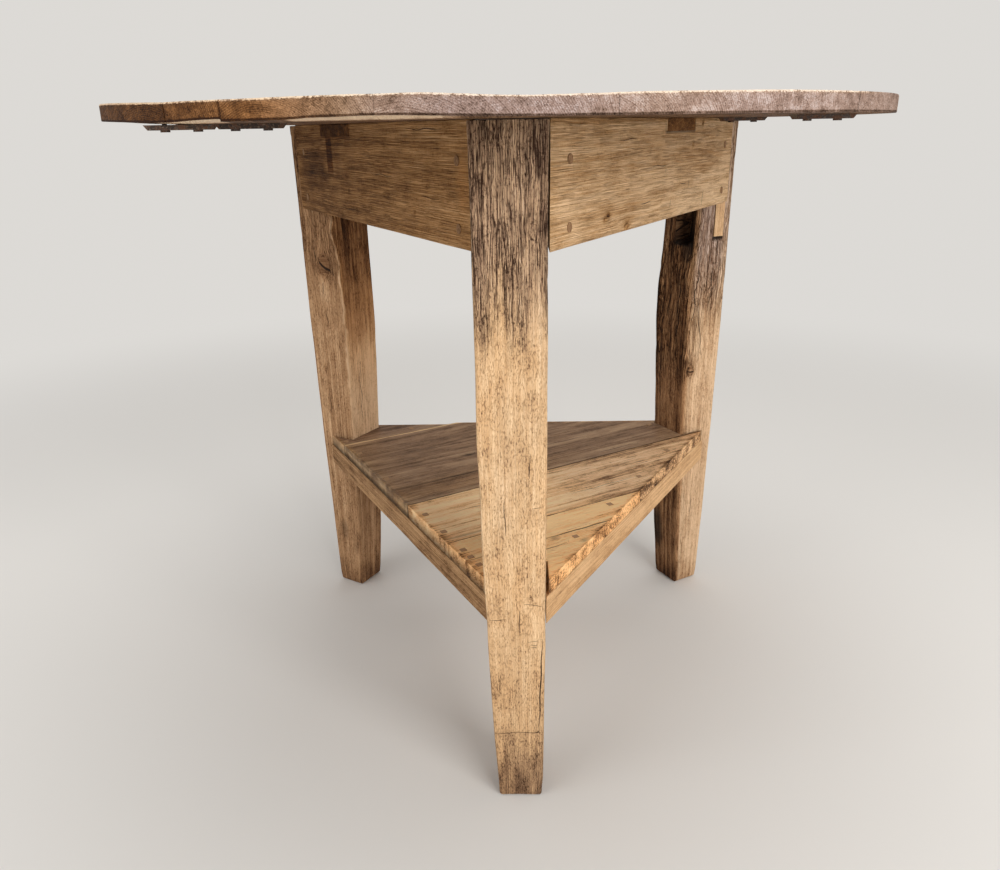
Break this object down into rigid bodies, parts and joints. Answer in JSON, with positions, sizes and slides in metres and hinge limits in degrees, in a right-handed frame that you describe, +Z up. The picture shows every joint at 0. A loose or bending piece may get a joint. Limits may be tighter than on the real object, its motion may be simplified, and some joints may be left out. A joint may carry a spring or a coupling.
{
  "type": "cricket table",
  "caption": "Round plank-topped cricket table on square tapered legs with pegged aprons, low stretchers and a triangular plank shelf.",
  "frame": {"origin": "on the floor under the middle of the round top", "axes": "+Z up; -Y towards the front leg; +X to the right as seen from the front"},
  "size_m": [0.8642, 0.864, 0.7357],
  "materials": {
    "weathered_oak": "waxed, weathered",
    "old_timber": "waxed, rough reclaimed",
    "apron_oak": "waxed",
    "stretcher_oak": "waxed",
    "shelf_dark": "waxed, worn",
    "shelf_golden": "waxed, worn",
    "top_oak": "waxed, worn",
    "peg_wood": "waxed",
    "new_wood": "bare",
    "old_iron": "rusty, dull"
  },
  "bodies": {
    "root": {"leg_front": "weathered_oak", "leg_left": "weathered_oak", "leg_right": "old_timber", "apron_left": "apron_oak", "apron_right": "apron_oak", "apron_back": "apron_oak", "stretcher_left": "stretcher_oak", "stretcher_right": "stretcher_oak", "stretcher_back": "stretcher_oak", "shelf_board_1": "shelf_dark", "shelf_board_2": "shelf_dark", "shelf_board_3": "shelf_dark", "shelf_board_4": "shelf_golden", "shelf_board_5": "shelf_golden", "top_board_1": "top_oak", "top_board_2": "top_oak", "top_board_3": "top_oak", "top_board_4": "top_oak", "top_board_5": "top_oak", "top_board_6": "top_oak", "top_cleat": "apron_oak", "mending_strap": "old_iron", "strap_screw": "old_iron", "apron_peg": "peg_wood", "top_nail": "old_iron", "cleat_nail": "old_iron", "shelf_nail": "old_iron", "mortise_filler": "new_wood"}
  },
  "joints": []
}
